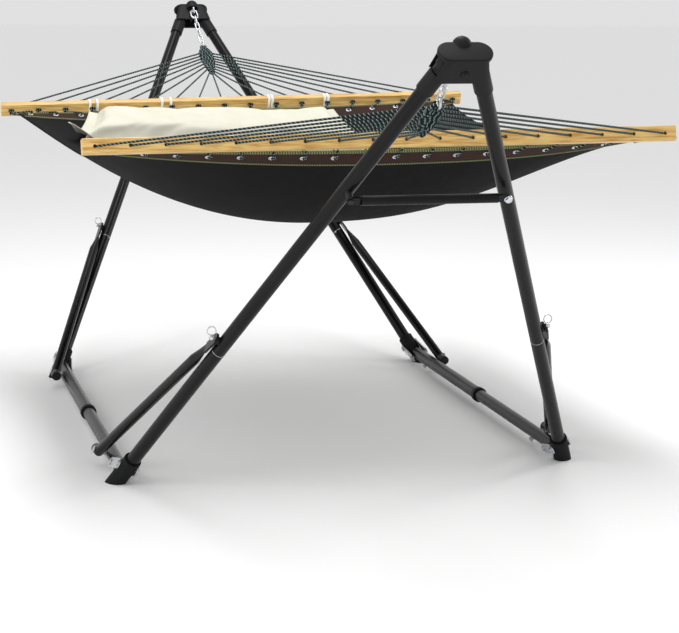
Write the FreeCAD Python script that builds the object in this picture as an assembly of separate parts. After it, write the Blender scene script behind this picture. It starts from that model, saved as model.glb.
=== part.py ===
import FreeCAD, Part
import math
import os

os.makedirs("parts", exist_ok=True)

# Hammock on a folding two-frame stand, in millimetres.
# X is across the bed, Y along it (the near end is -Y), Z is up and the floor is Z = 0.
# The origin is under the middle of the whole object.

# Stand
STAND_X = -32.5          # the hooks hang this far to one side of the bed's middle
FOOT_X = 537.0           # half the width between the base bars
FOOT_Y = 640.0           # half the length between the feet
FOOT_Z = 30.0            # height of the base bars' axis
CROWN_X = 26.0           # half the distance between the tops of the two legs' axes
CROWN_Y = 1489.0         # half the length between the crowns
CROWN_Z = 1030.0         # height of the tops of the legs' axes
LEG_R = 16.0             # leg tube
LEG_WALL = 1.5
SEAM_AT = 0.332          # the leg's lower tube ends at this share of the leg
SPIGOT_R = 14.3          # swaged end of the upper tube, inside the lower one
SPIGOT_LENGTH = 70.0
SLEEVE_R = 19.0          # plastic sleeve round the leg's top
PIVOT_DOWN = 20.0        # the leg's pivot, down from its top end
PIN_R = 4.0
RUNNING_GAP = 0.06

BASE_OUTER_R = 17.5      # far half of a base bar
BASE_INNER_R = 15.8      # near half, which slides into the far half
BASE_END = 598.0         # the base bar stops short of the boot
COLLAR_R = 20.5
COLLAR_HALF = 8.0

BOOT_R = 21.0
BOOT_TOP = 50.0          # boot's reach up the leg from the foot
PLATE_N = 23.0           # foot plate's middle, off the side's own plane
PLATE_T = 3.0
PLATE_R = 12.5
PLATE_BASE_Y = 582.0     # bolt through the base bar
PLATE_LEG_S = 20.0       # bolt through the leg, measured up the leg
BOLT_R = 4.0

BRACE_R = 12.5
BRACE_WALL = 1.4
BRACE_N = 35.0           # the brace's plane, outboard of the side's own plane
BRACE_Y = 470.0          # brace's lower pivot, along the base bar
BRACE_U = -6.0
BRACE_STUB = 30.0        # bent end past the pivot
BRACE_AT = 0.352         # brace's upper hole, as a share of the leg
TAB_T = 5.0
TAB_N = 23.5
TAB_LENGTH = 100.0
TAB_FLAT = 40.0
TAB_HALF = 14.0
LUG_R = 9.0
LUG_FACE_N = 20.0
SNAP_R = 3.6
SNAP_GAP = 0.6

CROSS_W = -362.0         # cross bar's level, down the A-frame from the legs' tops
CROSS_R = 10.0
CROSS_OFF = 35.0         # cross bar's axis, outward of the legs
CROSS_FLAT = 5.0         # thickness of its flattened ends
CROSS_FLAT_HALF = 26.0
CROSS_END_R = 10.0       # round tip past the bolt
CROSS_OVERHANG = 8.0

CROWN_HALF = 54.0        # crown housing, across its top
CROWN_LOW_HALF = 68.0    # and across its mouth
BOSS_W = -5.0            # underside of the round boss over the eye
CROWN_TOP = 12.0         # up the A-frame's plane from the legs' tops
CROWN_BOTTOM = -44.0
CAVITY_IN = -19.6        # inside faces of the housing, along the A-frame's normal
CAVITY_OUT = 22.6
CROWN_WALL = 5.0
ROOF_W = 8.0             # underside of the housing's roof
CAP_T = 5.0
DOME_R = 20.0
EYE_W = -20.0
EYE_N = -37.0
EYE_R = 9.0
EYE_WIRE = 3.0

# Hammock
HOOK_Z = 1037.0          # where the first link hangs in the hook's eye
HOOK_Y = 1449.0
BAR_LENGTH = 1400.0
BAR_HEIGHT = 36.0
BAR_DEPTH = 24.0
BAR_Y = 769.0
BAR_Z = {-1: 806.0, 1: 780.0}
BAR_SHIFT = {-1: 22.5, 1: -22.5}
BAR_TILT = {-1: 12.0, 1: 22.0}
BAR_RISE = {-1: 0.0095, 1: 0.0205}   # the pillow's weight brings the left ends down
ROPE_COUNT = 18
ROPE_PITCH = 79.0
ROPE_R = 2.6
ROPE_HOLE_R = 4.2
ROPE_LAYER = 3.2         # the ropes lie in two layers in the clew
RING_Y = 1291.0
RING_Z = 932.0
RING_R = 15.0
RING_WIRE = 2.6
CLEW_END_Y = 1130.0
CLEW_END_Z = 850.0
CLEW_HALF = 22.0
CLEW_T = 14.0
CLEW_ENTRY = 0.72        # the outermost ropes join the clew at this share of its length
LINK_WIRE = 2.6
LINK_GAP = 0.4
LINK_COUNT = 5
LINK_WIDTHS = (26.0, 17.0, 17.0, 17.0, 17.0)

HEM_Y = 728.0            # edge of the bed beside each bar
HEM_Z = {-1: 792.0, 1: 768.0}
HEM_HALF = 655.0
BED_MID_HALF = 600.0
BED_MID_Z = 524.0        # lowest point of the bed
BED_EDGE_MID_Z = 724.0
BED_T = 6.0
HEM_SAG = {-1: 17.0, 1: 8.0}
BED_PANELS = (8, 10)     # the sheet is cut into small panels, across and along
GROMMET_Y = 706.0
GROMMET_R = 9.0

PILLOW_X = -118.0
PILLOW_Y = 548.0
PILLOW_HALF = 392.0
PILLOW_DEPTH = 150.0
PILLOW_THICK = 27.0

V = FreeCAD.Vector
SIDES = {"left": -1, "right": 1}
ENDS = {"near": -1, "far": 1}


def rod(a, b, r):
    """Solid cylinder from a to b."""
    return Part.makeCylinder(r, (b - a).Length, a, b - a)


def pipe(a, b, r, inner):
    """Round tube from a to b."""
    return rod(a, b, r).cut(rod(a, b, inner))


def toward(a, b, length):
    """Point at a length from a on the way to b."""
    return a + (b - a).normalize() * length


def fuse(shapes):
    first = shapes[0]
    return first.multiFuse(shapes[1:]).removeSplitter() if len(shapes) > 1 else first


def placed(shape, origin, x_dir, z_dir):
    """Put a shape drawn at the origin into a frame given by its X and Z directions."""
    y_dir = z_dir.cross(x_dir)
    m = FreeCAD.Matrix(x_dir.x, y_dir.x, z_dir.x, origin.x,
                       x_dir.y, y_dir.y, z_dir.y, origin.y,
                       x_dir.z, y_dir.z, z_dir.z, origin.z, 0, 0, 0, 1)
    moved = shape.copy()
    moved.Placement = FreeCAD.Placement(m).multiply(moved.Placement)
    return moved


def save(name, shapes, on_stand=True):
    """Write one node; the stand's nodes are drawn round X = 0 and moved under the hooks."""
    shape = Part.makeCompound(shapes) if len(shapes) > 1 else shapes[0].copy()
    if on_stand:
        shape.translate(V(STAND_X, 0, 0))
    for solid in shape.Solids:
        if not solid.isValid():
            print("invalid solid in", name)
    print(f"{name:26s} solids {len(shape.Solids):3d}  volume {shape.Volume / 1000:9.1f} cm3")
    shape.exportStep(f"parts/{name}.step")


# Each side of the stand, its two legs, base bar and braces, is flat.
# A side point is given by y along the bar, u up the side's plane and n off the plane.

SIDE_LEAN = math.atan2(FOOT_X - CROWN_X, CROWN_Z - FOOT_Z)


def side_normal(sx):
    return V(sx * math.cos(SIDE_LEAN), 0, math.sin(SIDE_LEAN))


def side_point(sx, y, u, n=0.0):
    up = V(-sx * math.sin(SIDE_LEAN), 0, math.cos(SIDE_LEAN))
    return V(sx * FOOT_X, y, FOOT_Z) + up * u + side_normal(sx) * n


SIDE_HEIGHT = math.hypot(FOOT_X - CROWN_X, CROWN_Z - FOOT_Z)
LEG_LENGTH = math.hypot(SIDE_HEIGHT, CROWN_Y - FOOT_Y)


def leg_yu(s):
    """Side coordinates at s up the leg's axis, for the far end."""
    share = s / LEG_LENGTH
    return FOOT_Y + (CROWN_Y - FOOT_Y) * share, SIDE_HEIGHT * share


def leg_point(sx, sy, s, n=0.0):
    y, u = leg_yu(s)
    return side_point(sx, sy * y, u, n)


def across(sx, y, u, n0, n1, r):
    """Rod through a side, along its normal."""
    return rod(side_point(sx, y, u, n0), side_point(sx, y, u, n1), r)


def leg_lower(sx, sy):
    tube = pipe(leg_point(sx, sy, 2), leg_point(sx, sy, SEAM_AT * LEG_LENGTH), LEG_R, LEG_R - LEG_WALL)
    y, u = leg_yu(PLATE_LEG_S)
    return tube.cut(across(sx, sy * y, u, -40, 40, BOLT_R + RUNNING_GAP))


def leg_upper(sx, sy):
    seam = SEAM_AT * LEG_LENGTH
    tube = pipe(leg_point(sx, sy, seam), leg_point(sx, sy, LEG_LENGTH), LEG_R, LEG_R - LEG_WALL - 1.2)
    spigot = pipe(leg_point(sx, sy, seam - SPIGOT_LENGTH), leg_point(sx, sy, seam + 1),
                  SPIGOT_R, LEG_R - LEG_WALL - 1.2)
    pivot = leg_point(sx, sy, LEG_LENGTH - PIVOT_DOWN)
    hole = rod(pivot - V(0, 40, 0), pivot + V(0, 40, 0), PIN_R + RUNNING_GAP)
    return fuse([tube, spigot]).cut(hole)


def leg_sleeve(sx, sy):
    low, high = LEG_LENGTH - 94, LEG_LENGTH - 42
    return pipe(leg_point(sx, sy, low), leg_point(sx, sy, high), SLEEVE_R, LEG_R + 0.05)


def boot(sx, sy):
    """Rubber boot on the leg's end, cut flat where it meets the floor."""
    shell = rod(leg_point(sx, sy, -66), leg_point(sx, sy, BOOT_TOP), BOOT_R)
    floor = Part.makeBox(400, 400, 200, leg_point(sx, sy, 0) + V(-200, -200, -FOOT_Z - 200))
    y, u = leg_yu(PLATE_LEG_S)
    shell = shell.cut(floor).cut(rod(leg_point(sx, sy, 1.5), leg_point(sx, sy, BOOT_TOP + 5), LEG_R + 0.05))
    return shell.cut(across(sx, sy * y, u, -40, 40, BOLT_R + 0.1))


def foot_plate(sx, sy, n):
    """Zinc plate joining the leg's foot to the base bar, with a bolt hole at each end."""
    y, u = leg_yu(PLATE_LEG_S)
    ends = [(sy * PLATE_BASE_Y, 0.0), (sy * y, u)]
    half = PLATE_T / 2
    discs = [across(sx, yy, uu, n - half, n + half, PLATE_R) for yy, uu in ends]
    step = V(0, ends[1][0] - ends[0][0], ends[1][1] - ends[0][1]).normalize() * PLATE_R
    corners = []
    for (yy, uu), sign in ((ends[0], 1), (ends[1], 1), (ends[1], -1), (ends[0], -1)):
        corners.append(side_point(sx, yy - sign * step.z, uu + sign * step.y, n - half))
    web = Part.Face(Part.makePolygon(corners + corners[:1])).extrude(side_normal(sx) * PLATE_T)
    holes = [across(sx, yy, uu, n - 5, n + 5, BOLT_R + 0.05) for yy, uu in ends]
    return fuse(discs + [web]).cut(holes[0]).cut(holes[1])


def bolt(sx, y, u, n0, n1, head=2.4, head_r=7.5):
    """Bolt through a side, with a low head outboard and a nut inboard."""
    shank = across(sx, y, u, n0, n1, BOLT_R)
    cap = across(sx, y, u, n1, n1 + head, head_r)
    end = across(sx, y, u, n0 - 4, n0, head_r - 1)
    return fuse([shank, cap, end])


def base_outer(sx):
    """Far half of the base bar."""
    tube = pipe(side_point(sx, 0, 0), side_point(sx, BASE_END, 0), BASE_OUTER_R, BASE_INNER_R + 0.1)
    return cut_base_holes(tube, sx, 1)


def base_inner(sx):
    """Near half of the base bar, with its inner end inside the far half."""
    tube = pipe(side_point(sx, -BASE_END, 0), side_point(sx, 90, 0), BASE_INNER_R, BASE_INNER_R - 1.5)
    return cut_base_holes(tube, sx, -1)


def cut_base_holes(tube, sx, sy):
    for y, u in ((PLATE_BASE_Y, 0.0), (BRACE_Y, BRACE_U)):
        tube = tube.cut(across(sx, sy * y, u, -40, 40, BOLT_R + 0.05))
    return tube


def base_collar(sx):
    ring = rod(side_point(sx, -COLLAR_HALF, 0), side_point(sx, COLLAR_HALF, 0), COLLAR_R)
    bore = fuse([rod(side_point(sx, -30, 0), side_point(sx, 0, 0), BASE_INNER_R + 0.05),
                 rod(side_point(sx, 0, 0), side_point(sx, 30, 0), BASE_OUTER_R + 0.05)])
    return ring.cut(bore)


def brace_lug(sx, sy):
    """Round boss on the leg, with a flat outer face for the brace's tab."""
    y, u = leg_yu(BRACE_AT * LEG_LENGTH)
    boss = across(sx, sy * y, u, 8, LUG_FACE_N, LUG_R)
    return boss.cut(rod(leg_point(sx, sy, 200), leg_point(sx, sy, 800), LEG_R + 0.05))


def brace(sx, sy):
    """Round tube, bent flat to the floor below its pivot and flattened to a tab at its top."""
    y1, u1 = leg_yu(BRACE_AT * LEG_LENGTH)
    low = side_point(sx, sy * BRACE_Y, BRACE_U, BRACE_N)
    stub = side_point(sx, sy * (BRACE_Y - BRACE_STUB), BRACE_U - 2, BRACE_N)
    tip = side_point(sx, sy * y1, u1, TAB_N)
    high = toward(tip, low, TAB_LENGTH)
    outer = [rod(low, high, BRACE_R), Part.makeSphere(BRACE_R, low), rod(stub, low, BRACE_R)]
    inner_r = BRACE_R - BRACE_WALL
    inner = [rod(low, high, inner_r), Part.makeSphere(inner_r, low), rod(stub, low, inner_r)]
    body = fuse(outer).cut(fuse(inner))
    body = body.cut(across(sx, sy * BRACE_Y, BRACE_U, 0, 80, BOLT_R + RUNNING_GAP))
    return fuse([body, brace_tab(sx, sy, high, tip)])


def brace_tab(sx, sy, high, tip):
    """Upper end, pressed from round to flat, with a round tip and a pin hole."""
    n_dir = side_normal(sx)
    along = (tip - high).normalize()
    wide = n_dir.cross(along).normalize()
    flat = tip - along * TAB_FLAT
    half = TAB_T / 2
    round_end = Part.Wire(Part.makeCircle(BRACE_R, high, along))
    oval = Part.Ellipse(flat + wide * (TAB_HALF - 0.5), flat + along.cross(wide) * (half - 0.4), flat)
    taper = Part.makeLoft([round_end, Part.Wire(oval.toShape())], True, True)
    plate = Part.makeBox(TAB_FLAT + 3, 2 * TAB_HALF, TAB_T)
    plate.translate(V(-3, -TAB_HALF, -half))
    plate = placed(plate, flat, along, along.cross(wide))
    end = rod(tip - n_dir * half, tip + n_dir * half, TAB_HALF)
    hole = rod(tip - n_dir * 20, tip + n_dir * 20, SNAP_R + 0.3)
    return fuse([taper, fuse([plate, end])]).cut(hole)


def brace_cap(sx, sy):
    """Round plug that closes the brace's lower end."""
    low = side_point(sx, sy * BRACE_Y, BRACE_U, BRACE_N)
    stub = side_point(sx, sy * (BRACE_Y - BRACE_STUB), BRACE_U - 2, BRACE_N)
    out = toward(stub, low, -8)
    plug = rod(toward(stub, low, 12), stub, BRACE_R - BRACE_WALL)
    return fuse([plug, rod(stub, out, BRACE_R)])


def brace_pin(sx, sy):
    """Snap pin through the tab, with a wire bail standing up from its head."""
    y, u = leg_yu(BRACE_AT * LEG_LENGTH)
    y = sy * y
    shaft = across(sx, y, u, LUG_FACE_N + SNAP_GAP, 34, SNAP_R)
    head = across(sx, y, u, 30, 36, 6.5)
    bail = Part.makeTorus(9.5, 1.4, side_point(sx, y, u + 13, 39), V(0, 1, 0))
    return fuse([shaft, head, bail])


# Each A-frame has its own plane: x across, w up the frame and n off it, outward and down.

FRAME_FALL = math.atan2(CROWN_Y - FOOT_Y, CROWN_Z - FOOT_Z)


def frame_normal(sy):
    return V(0, sy * math.cos(FRAME_FALL), -math.sin(FRAME_FALL))


def frame_up(sy):
    return V(0, sy * math.sin(FRAME_FALL), math.cos(FRAME_FALL))


def frame_point(sy, x, w, n=0.0):
    return V(x, sy * CROWN_Y, CROWN_Z) + frame_up(sy) * w + frame_normal(sy) * n


def leg_x(w):
    """Half the distance between the legs' axes at w in the A-frame's plane."""
    frame_height = math.hypot(CROWN_Y - FOOT_Y, CROWN_Z - FOOT_Z)
    return CROWN_X - (FOOT_X - CROWN_X) * w / frame_height


def through(sy, x, w, n0, n1, r):
    """Rod along the A-frame's normal."""
    return rod(frame_point(sy, x, w, n0), frame_point(sy, x, w, n1), r)


def cross_bar(sy):
    """Round tube with flattened ends, outside both legs."""
    x0 = leg_x(CROSS_W)
    round_half = x0 - CROSS_FLAT_HALF + 4
    tube = pipe(frame_point(sy, -round_half, CROSS_W, CROSS_OFF),
                frame_point(sy, round_half, CROSS_W, CROSS_OFF), CROSS_R, CROSS_R - 1.3)
    parts = [tube]
    for s in (-1, 1):
        half = CROSS_FLAT / 2
        plate = Part.makeBox(CROSS_FLAT_HALF + CROSS_OVERHANG - CROSS_END_R, 2 * CROSS_END_R, CROSS_FLAT)
        plate.translate(V(0, -CROSS_END_R, -half))
        start = frame_point(sy, s * (x0 - CROSS_FLAT_HALF), CROSS_W, CROSS_OFF)
        parts.append(placed(plate, start, V(s, 0, 0), frame_normal(sy)))
        end_x = s * (x0 + CROSS_OVERHANG - CROSS_END_R)
        parts.append(through(sy, end_x, CROSS_W, CROSS_OFF - half, CROSS_OFF + half, CROSS_END_R))
    bar = fuse(parts)
    for s in (-1, 1):
        bar = bar.cut(through(sy, s * x0, CROSS_W, 0, 60, BOLT_R + RUNNING_GAP))
    return bar


def cross_bolt(sy):
    """Round-head bolt and washer at the bar's free end, its shank ending at the bar's inner face."""
    x0 = leg_x(CROSS_W)
    shank = through(sy, x0, CROSS_W, CROSS_OFF - CROSS_FLAT / 2 - 0.4, CROSS_OFF + 5, BOLT_R)
    washer = through(sy, x0, CROSS_W, CROSS_OFF + CROSS_FLAT / 2 + 0.1, CROSS_OFF + 4.4, 9)
    head = through(sy, x0, CROSS_W, CROSS_OFF + 4.3, CROSS_OFF + 9, 7)
    return fuse([shank, washer, head])


def cross_rivet(sy):
    """Rivet and spacer that pivot the bar on the left leg."""
    x0 = -leg_x(CROSS_W)
    shank = through(sy, x0, CROSS_W, LEG_R + 0.05, CROSS_OFF + 4, BOLT_R)
    spacer = through(sy, x0, CROSS_W, LEG_R - 4, CROSS_OFF - 2.8, 8)
    spacer = spacer.cut(rod(leg_point(-1, sy, 400), leg_point(-1, sy, LEG_LENGTH), LEG_R + 0.05))
    head = through(sy, x0, CROSS_W, CROSS_OFF + 2.8, CROSS_OFF + 5.2, 6.5)
    return fuse([shank.cut(rod(leg_point(-1, sy, 400), leg_point(-1, sy, LEG_LENGTH), LEG_R + 0.05)),
                 spacer, head])


def outline(sy, half, w, n0, n1):
    """Closed wire with rounded ends, across the A-frame's plane at w."""
    r = (n1 - n0) / 2
    mid = (n0 + n1) / 2
    points = [frame_point(sy, x, w, n) for x, n in
              ((half - r, n0), (half, mid), (half - r, n1), (r - half, n1), (-half, mid), (r - half, n0))]
    return Part.Wire([Part.Arc(*points[:3]).toShape(), Part.makeLine(points[2], points[3]),
                      Part.Arc(*points[3:]).toShape(), Part.makeLine(points[5], points[0])])


def stadium(sy, half, w0, w1, n0, n1):
    """Prism with rounded ends across, standing on the A-frame's plane."""
    r = (n1 - n0) / 2
    mid = (n0 + n1) / 2
    block = Part.makeBox(2 * (half - r), n1 - n0, w1 - w0)
    block.translate(V(-(half - r), -r, 0))
    ends = [Part.makeCylinder(r, w1 - w0, V(s * (half - r), 0, 0)) for s in (-1, 1)]
    return placed(fuse([block] + ends), frame_point(sy, 0, w0, mid), V(1, 0, 0), frame_up(sy))


def crown_body(sy):
    """Open-bottomed plastic housing: two walls and a roof round the tops of the legs."""
    n0, n1 = CAVITY_IN - CROWN_WALL, CAVITY_OUT + CROWN_WALL
    body = Part.makeLoft([outline(sy, CROWN_LOW_HALF, CROWN_BOTTOM, n0, n1),
                          outline(sy, CROWN_HALF, CROWN_TOP, n0, n1)], True, True)
    boss = rod(frame_point(sy, 0, BOSS_W, n0 + 1), frame_point(sy, 0, CROWN_TOP - 0.5, n0 + 1), DOME_R - 1)
    body = body.fuse(boss)
    corners = [frame_point(sy, x, w, CAVITY_IN) for x, w in
               ((-90, CROWN_BOTTOM - 30), (90, CROWN_BOTTOM - 30), (90, ROOF_W), (-90, ROOF_W))]
    cavity = Part.Face(Part.makePolygon(corners + corners[:1]))
    body = body.cut(cavity.extrude(frame_normal(sy) * (CAVITY_OUT - CAVITY_IN)))
    recess = through(sy, 0, EYE_W, CAVITY_OUT + 2.2, n1 + 5, 8.5)
    shank_hole = through(sy, 0, EYE_W, n0 - 5, n1 + 5, BOLT_R + 0.1)
    return body.cut(recess).cut(shank_hole)


def crown_cap(sy):
    """Cover plate with a low dome behind its middle."""
    n0, n1 = CAVITY_IN - CROWN_WALL - 1, CAVITY_OUT + CROWN_WALL + 1
    plate = stadium(sy, CROWN_HALF + 1.5, CROWN_TOP + 0.1, CROWN_TOP + CAP_T, n0, n1)
    dome = Part.makeSphere(DOME_R, frame_point(sy, 0, CROWN_TOP - 5, n0 + 1))
    keep = stadium(sy, CROWN_HALF, CROWN_TOP + 0.1, CROWN_TOP + 60, n0 - DOME_R - 5, n1)
    return fuse([plate, dome.common(keep)])


def crown_pins(sy):
    """Pins on which the two legs turn when the frame closes."""
    pins = []
    for sx in (-1, 1):
        centre = leg_point(sx, sy, LEG_LENGTH - PIVOT_DOWN)
        out = (CAVITY_OUT + 2.2) / math.cos(FRAME_FALL)
        back = (-CAVITY_IN + 2.2) / math.cos(FRAME_FALL)
        pins.append(rod(centre - V(0, sy * back, 0), centre + V(0, sy * out, 0), PIN_R))
    return pins


def hook_eye(sy):
    """Eye bolt through the housing, with a nut in the front recess."""
    eye = Part.makeTorus(EYE_R, EYE_WIRE, frame_point(sy, 0, EYE_W, EYE_N), V(1, 0, 0))
    shank = through(sy, 0, EYE_W, EYE_N + EYE_R, CAVITY_OUT + 5.5, BOLT_R)
    nut = through(sy, 0, EYE_W, CAVITY_OUT + 2.25, CAVITY_OUT + 6.5, 6.5)
    collar = through(sy, 0, EYE_W, CAVITY_IN - CROWN_WALL - 2.5, CAVITY_IN - CROWN_WALL, 7)
    return fuse([eye, shank, nut, collar])


# The hammock's own parts.

def hook_point(sy):
    return V(STAND_X, sy * HOOK_Y, HOOK_Z)


def ring_point(sy):
    return V(STAND_X + (BAR_SHIFT[sy] - STAND_X) * 0.23, sy * RING_Y, RING_Z)


def clew_end(sy):
    return V(STAND_X + (BAR_SHIFT[sy] - STAND_X) * 0.46, sy * CLEW_END_Y, CLEW_END_Z)


def link(a, b, width, side):
    """Oblong ring of wire whose centre line runs from a to b, flat in the plane of a-b and side."""
    axis = (b - a).normalize()
    side = (side - axis * side.dot(axis)).normalize() * (width / 2 - LINK_WIRE)
    top, low = a + axis * side.Length, b - axis * side.Length
    path = Part.Wire([Part.makeLine(top + side, low + side),
                      Part.Arc(low + side, b, low - side).toShape(),
                      Part.makeLine(low - side, top - side),
                      Part.Arc(top - side, a, top + side).toShape()])
    start = Part.Wire(Part.makeCircle(LINK_WIRE, top + side, axis))
    return path.makePipeShell([start], True, True)


def chain(sy):
    """Wide quick link in the eye, then plain links, each a quarter turn from the last."""
    a, b = hook_point(sy), ring_point(sy)
    axis = (b - a).normalize()
    sides = (V(1, 0, 0), axis.cross(V(1, 0, 0)).normalize())
    pitch = ((b - a).Length - RING_R - 0.6) / LINK_COUNT
    length = pitch + 2 * LINK_WIRE + LINK_GAP
    links = []
    for i, width in enumerate(LINK_WIDTHS):
        start = a + axis * (pitch * i)
        links.append(link(start, start + axis * length, width, sides[i % 2]))
    return links


def clew_ring(sy):
    """Ring in the last link, square to it."""
    axis = (ring_point(sy) - hook_point(sy)).normalize()
    return Part.makeTorus(RING_R, RING_WIRE, ring_point(sy), V(1, 0, 0) - axis * axis.x)


def clew_frame(sy):
    """Top, lower end, axis, width direction and normal of a clew."""
    top = toward(ring_point(sy), clew_end(sy), RING_R + RING_WIRE + 0.5)
    low = clew_end(sy)
    axis = (low - top).normalize()
    side = (V(1, 0, 0) - axis * axis.x).normalize()
    return top, low, axis, side, axis.cross(side)


def clew(sy):
    """Woven cords that gather the ropes: a flat lozenge."""
    top, low, axis, side, normal = clew_frame(sy)
    length = (low - top).Length
    outline = [(0, 7), (0.3 * length, CLEW_HALF), (0.55 * length, CLEW_HALF), (length, 8)]
    points = [top + axis * d + side * h for d, h in outline]
    points += [top + axis * d - side * h for d, h in reversed(outline)]
    points = [p - normal * (CLEW_T / 2) for p in points]
    return Part.Face(Part.makePolygon(points + points[:1])).extrude(normal * CLEW_T)


def bar_frame(sy):
    """Centre of a spreader bar, its direction, and the rope holes' outward direction."""
    tilt = math.radians(BAR_TILT[sy])
    out = V(0, sy * math.cos(tilt), math.sin(tilt))
    across = V(1, 0, BAR_RISE[sy])
    return V(BAR_SHIFT[sy], sy * BAR_Y, BAR_Z[sy]), (across - out * across.dot(out)).normalize(), out


def rope_x(i):
    return (i - (ROPE_COUNT - 1) / 2) * ROPE_PITCH


def spreader_bar(sy):
    centre, across, out = bar_frame(sy)
    up = across.cross(out) * sy
    stick = Part.makeBox(BAR_LENGTH, BAR_DEPTH, BAR_HEIGHT)
    stick.translate(V(-BAR_LENGTH / 2, -BAR_DEPTH / 2, -BAR_HEIGHT / 2))
    stick = stick.makeFillet(3.0, stick.Edges)
    bar = placed(stick, centre, across, up)
    holes = [rod(centre + across * rope_x(i) - out * 30, centre + across * rope_x(i) + out * 30,
                 ROPE_HOLE_R) for i in range(ROPE_COUNT)]
    return bar.cut(Part.makeCompound(holes))


def fan_ropes(sy):
    """Ropes from the clew to the bar, one to each hole."""
    centre, across, out = bar_frame(sy)
    top, low, axis, side, normal = clew_frame(sy)
    length = (low - top).Length
    ropes = []
    for i in range(ROPE_COUNT):
        share = rope_x(i) / rope_x(ROPE_COUNT - 1)
        along = length * (1 - CLEW_ENTRY * abs(share) ** 1.3)
        half = 6 + (CLEW_HALF - 6) * min(1, (length - along) / (0.45 * length))
        start = top + axis * along + side * (share / abs(share) * (half - 3) * min(1, abs(share) * 3))
        start += normal * (ROPE_LAYER if i % 2 else -ROPE_LAYER)
        end = centre + across * rope_x(i) + out * (BAR_DEPTH / 2 + 5)
        ropes.append(rod(start, end, ROPE_R))
    return ropes


def bed_surface(share_x, y):
    """Underside of the mesh: a parabola along the bed and another across it."""
    end = 1 if y > 0 else -1
    along = (y / HEM_Y) ** 2
    half = BED_MID_HALF + (HEM_HALF - BED_MID_HALF) * along
    edge = BED_EDGE_MID_Z + (HEM_Z[end] - BED_EDGE_MID_Z) * along
    mid = BED_MID_Z + (HEM_Z[end] - HEM_SAG[end] - BED_MID_Z) * along
    shift = BAR_SHIFT[1] * y / BAR_Y
    rise = (BAR_RISE[-1] + BAR_RISE[1] + (BAR_RISE[1] - BAR_RISE[-1]) * y / BAR_Y) / 2
    return V(shift + share_x * half, y, mid + (edge - mid) * share_x ** 2 + rise * share_x * half)


def bed():
    """Thin sagging sheet in panels that meet edge to edge, so each one is nearly flat."""
    across, lengthwise = BED_PANELS
    panels = []
    for k in range(lengthwise):
        ends = [HEM_Y * (2 * (k + step) / lengthwise - 1) for step in (0, 1)]
        for i in range(across):
            wires = []
            for y in ends:
                low = [bed_surface((2 * (i + step) - across) / across, y) for step in (0, 0.5, 1)]
                high = [p + V(0, 0, BED_T) for p in low]
                edges = [Part.Arc(*low).toShape(), Part.makeLine(low[2], high[2]),
                         Part.Arc(high[2], high[1], high[0]).toShape(), Part.makeLine(high[0], low[0])]
                wires.append(Part.Wire(edges))
            panels.append(Part.makeLoft(wires, True, True))
    return panels


def grommet_point(sy, i):
    half = bed_surface(1, sy * GROMMET_Y)
    centre = bed_surface(0, sy * GROMMET_Y)
    share = rope_x(i) / rope_x(ROPE_COUNT - 1) * 0.955
    edge = half.x - centre.x
    return V(centre.x + share * edge, sy * GROMMET_Y, bed_surface(share, sy * GROMMET_Y).z + BED_T)


def grommets():
    """Metal eyelets pressed into the hem, lying on the mesh's slope."""
    rings = []
    slope = (bed_surface(0, GROMMET_Y).z - bed_surface(0, GROMMET_Y - 10).z) / 10
    for sy in (-1, 1):
        normal = V(0, -sy * slope, 1).normalize()
        for i in range(ROPE_COUNT):
            base = grommet_point(sy, i) + normal * 0.8
            rings.append(pipe(base, base + normal * 1.6, GROMMET_R, GROMMET_R / 2))
    return rings


def lashings():
    """Short ropes from the bar's inner face down to the hem's eyelets."""
    ropes = []
    for sy in (-1, 1):
        centre, across, out = bar_frame(sy)
        for i in range(ROPE_COUNT):
            start = centre + across * rope_x(i) - out * (BAR_DEPTH / 2 + 4)
            end = grommet_point(sy, i) + V(0, 0, 7)
            ropes.append(rod(start, end, ROPE_R))
    return ropes


def pillow():
    """Soft pillow that follows the bed beside the far bar."""
    wires = []
    for share in (-1.0, -0.93, -0.6, -0.2, 0.2, 0.6, 0.93, 1.0):
        x = PILLOW_X + share * PILLOW_HALF
        shift = BAR_SHIFT[1] * PILLOW_Y / BAR_Y
        half = BED_MID_HALF + (HEM_HALF - BED_MID_HALF) * (PILLOW_Y / HEM_Y) ** 2
        here = bed_surface((x - shift) / half, PILLOW_Y)
        back = bed_surface((x - shift) / half, PILLOW_Y - 10)
        slope = V(0, 10, here.z - back.z).normalize()
        full = (1 - abs(share) ** 6) ** 0.5 if abs(share) < 1 else 0.0
        thick = 10 + (PILLOW_THICK - 10) * full
        depth = PILLOW_DEPTH - 8 + 8 * full
        normal = V(1, 0, 0).cross(slope)
        centre = V(x, PILLOW_Y, here.z + BED_T + 5) + normal * (thick + 2)
        ellipse = Part.Ellipse(centre + slope * depth, centre + normal * thick, centre)
        wires.append(Part.Wire(ellipse.toShape()))
    return Part.makeLoft(wires, True, False)


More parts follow.
